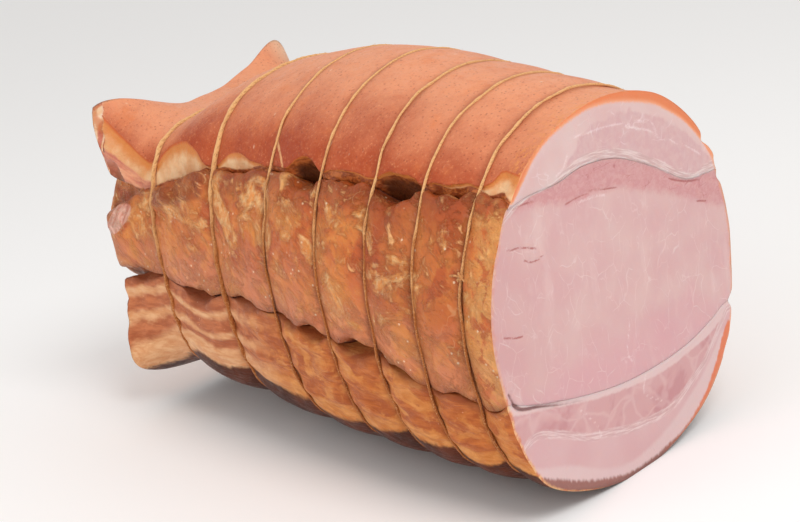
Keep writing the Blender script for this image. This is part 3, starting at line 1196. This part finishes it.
def lower_paint():
    """The lower slab's outside: striped edges at the sides and a dark smoked rind below."""
    p = Paint("belly_side_and_rind")
    place, layer, grain = p.attr("place"), p.attr("layer"), p.noise(2.6, 4, 0.6, 0.6, (4, 1, 1))
    at, grainy = layer + p.drift(0.34, 34, 2, seed=1) + p.drift(0.10, 5, 3, seed=2), grain.step(0.35, 0.7)
    back_bands = ((0.18, 0.28, 0.04), (0.48, 0.58, 0.04), (0.74, 1.20, 0.05))
    back = layered(at, back_bands, p.mix(grainy, (170, 92, 56), (206, 124, 80)),
                   p.mix(grainy, (220, 152, 102), (238, 186, 138)))
    fat = p.mix(p.noise(4, 4, 0.6, 0.8, (2, 1, 1)).step(0.35, 0.7), (204, 122, 56), (230, 158, 88))
    front = layered(at, ((0.84, 1.20, 0.05),), p.mix(grainy, (172, 86, 38), (206, 118, 56)), fat)
    golden = p.noise(15, 6, 0.65, 1.4, (1.4, 1, 1), seed=9).step(0.48, 0.58) * place.step(190, 120, 0.2, 0.8)
    front = p.mix(golden, front, fat)
    p.colour = p.mix((place + p.noise(12, 3) * 40).step(150, 210), front, back)
    rind = p.mix(p.noise(14, 4, 0.6).step(0.35, 0.7), (66, 26, 10), (104, 46, 20))
    rind = p.mix(p.noise(1.4, 3, 0.7).step(0.6, 0.8, 0, 0.3), rind, (130, 66, 36))
    p.lay((layer + p.drift(0.10, 2.2, 3, seed=3)).step(1.02, 1.10), rind)
    p.lay(low_share(p, 4, 5.5, 1.0) * 0.55, (112, 54, 36))
    p.lay(p.attr("groove") * 0.45, (96, 46, 24))
    specks = p.cells(3.0, "F1").step(0.13, 0.05) * p.noise(12, 2, seed=5).step(0.56, 0.64)
    p.lay(specks * 0.5, (240, 198, 164))
    height = grain + p.noise(1.1, 3) * 0.25
    return p.finish(p.noise(4, 3, seed=8).step(0.3, 0.7, 0.34, 0.54), height, 0.7, 1.1, 0.06, 3.0, gloss=0.18)


def inside_paint():
    """Meat inside a seam, away from the smoke."""
    p = Paint("seam_meat")
    mottle = p.noise(6, 4, 0.6, 0.5)
    p.colour = p.mix(mottle.step(0.35, 0.65), (132, 70, 50), (176, 104, 82))
    return p.finish(0.45, mottle, 0.5, 1.0, 0.15, 3.0)


def cut_loin(p, soft, small):
    """Pale pink lean with fine veins, and a darker band under the white seam; gives back the veins."""
    p.colour = p.mix(soft.step(0.35, 0.68), (214, 170, 170), (219, 183, 179))
    p.lay(p.attr("across").step(-0.35, -1.0, 0, 0.6), (208, 158, 158))
    p.lay((p.attr("up") + (soft - 0.5) * 0.5).step(-0.08, -0.42, 0, 0.7), (217, 164, 170))
    p.lay(p.noise(9, 4, 0.6, 0.4, (1, 1, 2.2)).step(0.5, 0.75, 0, 0.35), (232, 205, 200))
    veins = p.cells(12, bend=0.6, stretch=(1, 1, 1.4)).step(0.016, 0.002)
    veins = veins * p.noise(7, 2, seed=4).step(0.42, 0.60)
    thin = p.cells(7, bend=1.3, stretch=(1, 1, 1.8)).step(0.022, 0.003)
    thin = thin * p.noise(10, 2, seed=5).step(0.46, 0.58)
    p.lay(veins * 0.42, (238, 216, 213))
    p.lay(thin * 0.30, (238, 216, 213))
    band = p.attr("band") + small + p.drift(6, 5, 3, 0.6, seed=15)
    grainy = p.mix(p.noise(2.2, 4, 0.6, 1.2, (1, 1.4, 1)).step(0.35, 0.7), (203, 138, 140), (213, 160, 158))
    p.lay(band.step(-2.2, 2.6) * 0.85, grainy)
    tears = p.cells(9, bend=1.5, stretch=(1, 2.2, 0.7)).step(0.020, 0.004) * band.step(0.5, 2.0)
    p.lay(tears * p.noise(6, 2, seed=6).step(0.5, 0.6) * 0.65, (178, 92, 96))
    return veins


def streaky(p, line, dark, pale):
    """A seam's white strands along one of the face's lines, and the two-toned fat they make."""
    strands = p.noise_on(p.attr("across") * 7.0, p.attr(line) * 1.1, 5)
    return strands, p.mix(strands.step(0.42, 0.60), dark, pale)


def cut_upper(p, soft, small, seam_at):
    """The upper slab's fat, its leaner layer and the white seam below it; gives back the seam's strands."""
    slab = p.mix(soft.step(0.3, 0.7), (219, 182, 179), (223, 194, 190))
    lean = p.mix(p.noise(3, 4, 0.6, 0.5).step(0.35, 0.7), (210, 166, 168), (216, 180, 178))
    slab = p.mix((p.attr("lean_top") + p.drift(-9, 6, 2, seed=7)).step(0.8, -1.2) * 0.85, slab, lean)
    net = p.cells(8, bend=1.2, stretch=(1, 1.6, 1)).step(0.024, 0.004) * p.noise(8, 2, seed=8).step(0.5, 0.62)
    slab = p.mix(net * 0.4, slab, (240, 220, 222))
    slab = p.mix((p.attr("rind") + small).step(-5.0, -0.5, 0, 0.75), slab, (224, 194, 192))
    p.lay(seam_at.step(-0.3, 0.3), slab)
    strands, seam = streaky(p, "fat_low", (206, 170, 168), (230, 208, 204))
    p.lay((p.attr("fat_top") + small).step(0.5, -0.5) * seam_at.step(-0.5, 0.4) * 0.95, seam)
    return strands


def cut_lower(p, soft, small, below):
    """The lower slab: lobes of darker flesh, a streaky line of fat and a pale layer over the rind."""
    line_at = p.attr("fat_line") + small
    lobes = p.noise(13, 3, 0.5, 0.6, (1, 1.4, 1), seed=12)
    part = p.mix(lobes.step(0.46, 0.60), (210, 162, 162), (198, 142, 145))
    part = p.mix(p.noise(1.5, 3, 0.6).step(0.6, 0.8, 0, 0.3), part, (194, 128, 132))
    part = p.mix(p.cells(13, bend=1.0, stretch=(1, 1.3, 1)).step(0.10, 0.0) * 0.32, part, (228, 196, 194))
    part = p.mix((p.attr("strip") + small).step(-0.6, 0.6), part, (224, 194, 192))
    part = p.mix(line_at.step(0.4, -0.4), part, p.mix(soft.step(0.3, 0.7), (214, 170, 172), (218, 180, 180)))
    streak = streaky(p, "fat_line", (208, 168, 168), (232, 208, 206))[1]
    part = p.mix(line_at.between(-1.2, 2.2, 0.7) * 0.85, part, streak)
    part = p.mix((p.attr("pale") + small).step(1.0, -1.5), part, (222, 192, 191))
    p.lay(below, part)


def cut_rinds(p, tiny, seam_at, below):
    """The orange line of the upper rind and the toothed brown one of the lower."""
    across = p.attr("across")
    thick = p.attr("rind") + across.step(-0.75, -0.1, 0.2, 2.4) + across.step(0.5, 0.9, 0, -0.8)
    orange = p.mix(thick.step(-0.5, 2.0), (240, 166, 122), (228, 128, 74))
    p.lay((thick + tiny * 1.6).step(-1.0, 0.6) * seam_at.step(0, 1), orange)
    teeth = p.attr("low_rind") + p.drift(3.2, 1.6, 2, 0.5, 0.3, (1, 1, 3))
    brown = p.mix(across.step(0.15, 0.55), (150, 98, 88), (224, 122, 78))
    p.lay(teeth.step(0.9, -0.9) * below, brown)


def cut_marks(p, small, tiny):
    """The smoked rim, white lines, cracks and the open end of the lower seam."""
    across, up = p.attr("across"), p.attr("up")
    frayed = p.attr("rim") + p.drift(3.0, 3, 3, 0.6, seed=14)
    golden = p.mix(p.noise(2, 3).step(0.4, 0.6), (214, 128, 80), (238, 186, 130))
    near_low = across.step(-0.2, -0.5) * up.step(0.0, -0.3, 0.35, 1.0)
    p.lay(frayed.step(2.2, 0.2) * near_low, golden)
    p.lay(frayed.step(2.0, 0.0) * across.step(0.3, 0.6) * up.step(0.7, 0.5) * 0.8, (238, 160, 120))
    p.lay((p.attr("white") + tiny * 1.6).step(0.8, 0.0, 0, 0.45), (246, 230, 230))
    p.lay((p.attr("crack") + tiny * 0.5).step(0.62, 0.10, 0, 0.85), (172, 88, 84))
    p.lay((p.attr("low_gap") + small * 0.25).step(0.95, 0.35, 0, 0.85), (122, 70, 68))


def cut_paint():
    """The clean cut: pale pink lean, white seams of fat and the orange line of the rind."""
    p = Paint("cut_face")
    soft, small = p.noise(20, 3, 0.5), p.drift(1.6, 2.0, 3, 0.6, seed=1)
    tiny = p.noise(0.8, 2, 0.5, seed=2) - 0.5
    seam_at, below = p.attr("fat_low") + small * 0.5, p.attr("below").step(-0.2, 0.2)
    veins = cut_loin(p, soft, small)
    strands = cut_upper(p, soft, small, seam_at)
    cut_lower(p, soft, small, below)
    cut_rinds(p, tiny, seam_at, below)
    cut_marks(p, small, tiny)
    p.lay(FACE_DIM, (150, 104, 98))
    height = p.noise(1.2, 3, 0.6) * 0.35 + strands * 0.12 + veins * 0.2
    return p.finish(p.noise(5, 3).step(0.3, 0.7, 0.38, 0.55), height, 0.35, 0.8, 0.30, 5.0, gloss=0.4)


def back_paint(name, rind):
    """The torn back end of a slab: layers of fat and lean from its rind inwards."""
    p = Paint(name)
    depth, grain = p.attr("depth"), p.noise(2.4, 4, 0.6, 0.5, (1, 4, 1))
    at, grainy = depth + p.drift(0.22, 9, 3, 0.6), grain.step(0.35, 0.7)
    bands = ((0.06, 0.34, 0.03), (0.52, 0.64, 0.03), (0.84, 0.94, 0.03))
    p.colour = layered(at, bands, p.mix(grainy, (170, 82, 56), (200, 114, 84)),
                       p.mix(grainy, (226, 176, 134), (236, 200, 168)))
    p.lay(depth.step(0.07, 0.03), rind)
    p.lay(p.noise(11, 5, 0.6, 0.8, seed=3).step(0.48, 0.60, 0, 0.75), (190, 104, 46))
    return p.finish(0.42, grain, 0.6, 1.0, 0.18, 3.5)


def tip_paint():
    """The loin's rounded back end: smoked, with a pale pink oval where the lean shows."""
    p = Paint("loin_tip")
    across, up, blotch = p.attr("across"), p.attr("up"), p.noise(11, 5, 0.6, 0.8)
    p.colour = p.mix(blotch.step(0.4, 0.62), (184, 88, 34), (212, 128, 58))
    pink = p.mix(p.noise(2, 4, 0.6, 0.5, (1, 1, 4)).step(0.4, 0.7), (206, 126, 108), (230, 172, 156))
    away = across * across + up * up + p.drift(0.5, 12, 4, seed=2)
    p.lay(away.step(0.34, 0.18) * 0.8, pink)
    return p.finish(0.4, blotch, 0.6, 1.2, 0.12, 3.5, gloss=0.3)


def twine_paint():
    """Twisted cotton, stained by smoke and browner where it lies low on the side."""
    p = Paint("smoked_twine")
    lobe, fibre = p.attr("lobe"), p.noise(0.7, 4, 0.75)
    stain = p.attr("high") + p.drift(0.7, 9, 3, 0.6)
    p.colour = p.mix(stain.step(0.50, 0.90), (182, 106, 50), (236, 180, 120))
    p.lay(lobe.step(0.65, 0.15, 0, 0.35), (132, 72, 32))
    p.lay(fibre.step(0.52, 0.66, 0, 0.7), (244, 200, 142))
    p.lay(fibre.step(0.46, 0.34, 0, 0.6), (140, 78, 34))
    return p.finish(0.85, fibre + lobe * 0.2, 0.9, 0.5, 0.0, 1.0, sheen=0.15, gloss=0.15)


inside, cut, loin_skin, lower_skin = inside_paint(), cut_paint(), loin_paint(), lower_paint()
upper_back, lower_back = back_paint("upper_back", (204, 100, 56)), back_paint("lower_back", (110, 58, 36))
paints = {
    "upper_slab": ("rind_top", rind_paint(), edge_paint(), inside, cut, upper_back),
    "loin": ("loin_meat", loin_skin, loin_skin, inside, cut, tip_paint()),
    "lower_slab": ("rind_bottom", lower_skin, lower_skin, inside, cut, lower_back),
}
twine = ("twine", twine_paint())
for name, piece in (pieces | twines).items():
    slot, *materials = paints.get(name, twine)
    for material in materials:
        piece.data.materials.append(material)
    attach(piece, "root")
    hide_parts(name)


# Stage, light and camera
FLOOR_SIZE = 6.0
CAMERA_AT = (0.56932, -0.59395, 0.30190)
CAMERA_RIGHT = (0.75202456, 0.64335361, -0.14337079)
CAMERA_UP = (-0.07367383, 0.2981944, 0.95165764)
CAMERA_BACK = (0.65500475, -0.70510725, 0.27164784)
LENS, SENSOR, CLIP_END = 89.0, 36.0, 20
MIDDLE = (0, 0, 0.08)                   # what the lamps point at
SKY_COLOUR, SKY_STRENGTH = (1.0, 0.99, 0.98, 1), 0.72


def make_floor():
    half = FLOOR_SIZE / 2
    corners = [(-half, -half, 0), (half, -half, 0), (half, half, 0), (-half, half, 0)]
    mesh = bpy.data.meshes.new("floor")
    mesh.from_pydata(corners, [], [(0, 1, 2, 3)])
    p = Paint("pale_floor")
    p.colour = tone(252, 251, 250)
    mesh.materials.append(p.finish(0.9, flesh=0.0, gloss=0.1))
    linked("floor", mesh)


def soft_light(name, at, size, power):
    lamp = bpy.data.lights.new(name, "AREA")
    lamp.shape, lamp.size, lamp.energy = "DISK", size, power
    holder = linked(name, lamp)
    holder.location = at
    holder.rotation_euler = (Vector(MIDDLE) - Vector(at)).to_track_quat("-Z", "Y").to_euler()


def make_world():
    world = bpy.data.worlds.new("studio")
    world.use_nodes = True
    sky = world.node_tree.nodes["Background"]
    sky.inputs["Color"].default_value, sky.inputs["Strength"].default_value = SKY_COLOUR, SKY_STRENGTH
    bpy.context.scene.world = world


def make_camera():
    lens = bpy.data.cameras.new("camera")
    lens.lens, lens.sensor_width, lens.clip_end = LENS, SENSOR, CLIP_END
    camera = linked("camera", lens)
    turn = Matrix((CAMERA_RIGHT, CAMERA_UP, CAMERA_BACK)).transposed().to_4x4()
    camera.matrix_world = Matrix.Translation(CAMERA_AT) @ turn
    bpy.context.scene.camera = camera


make_floor()
make_camera()
make_world()
soft_light("key", (0.9, -0.35, 1.15), 0.7, 8.5)
soft_light("fill", (-0.3, -1.2, 0.7), 0.9, 2.0)
bpy.context.scene.view_settings.view_transform = "Standard"
